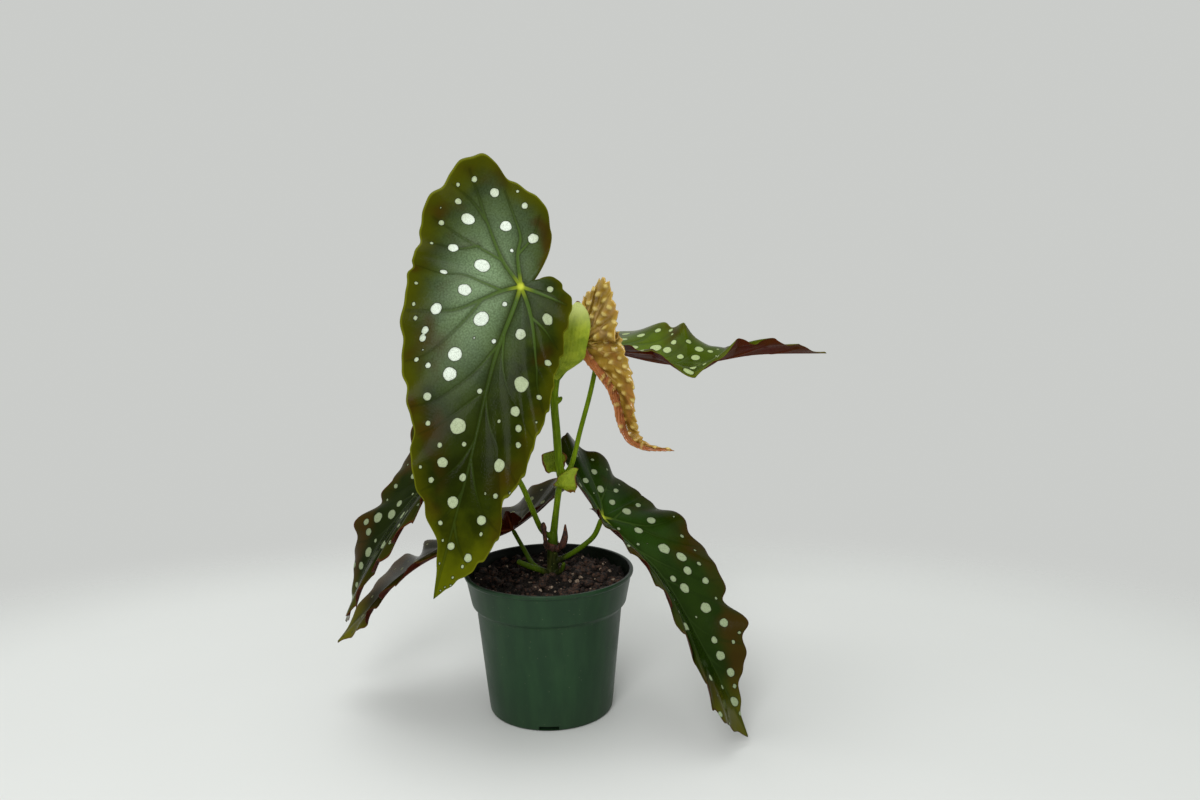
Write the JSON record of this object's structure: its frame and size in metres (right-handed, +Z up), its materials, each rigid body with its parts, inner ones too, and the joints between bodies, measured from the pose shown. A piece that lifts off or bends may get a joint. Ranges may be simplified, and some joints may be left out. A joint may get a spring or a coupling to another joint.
{
  "type": "potted polka dot begonia",
  "caption": "Spotted cane begonia with lopsided wing-shaped leaves on arching stalks, rooted in a tapered plastic nursery pot.",
  "frame": {"origin": "centre of the pot's underside, on the surface that it stands on", "axes": "+Z up along the pot's axis; -Y is the plant's front, where the biggest leaf hangs; +X is to the right seen from the front"},
  "size_m": [0.3203, 0.171, 0.3514],
  "materials": {
    "pot_plastic": "satin moulded polypropylene, dark green",
    "potting_mix": "damp dark peat and bark with pale perlite",
    "green_stem": "smooth living green stem",
    "spotted_leaf": "waxy olive green blade with silvery white spots, burgundy underside",
    "spotted_leaf_dark": "waxy dark green blade with silvery white spots, burgundy underside",
    "young_leaf": "soft puckered bronze gold young blade",
    "stipule": "thin lime green papery sheath",
    "dry_scale": "dry brown scale"
  },
  "bodies": {
    "root": {"pot": "pot_plastic", "soil": "potting_mix", "stems": "green_stem", "leaf_front": "spotted_leaf", "leaf_young": "young_leaf", "leaf_right_upper": "spotted_leaf", "leaf_right_lower": "spotted_leaf_dark", "leaf_left_upper": "spotted_leaf_dark", "leaf_left_lower": "spotted_leaf_dark", "stipule_apex": "stipule", "stipule_node_left": "stipule", "stipule_node_right": "stipule", "base_scales": "dry_scale"}
  },
  "joints": []
}
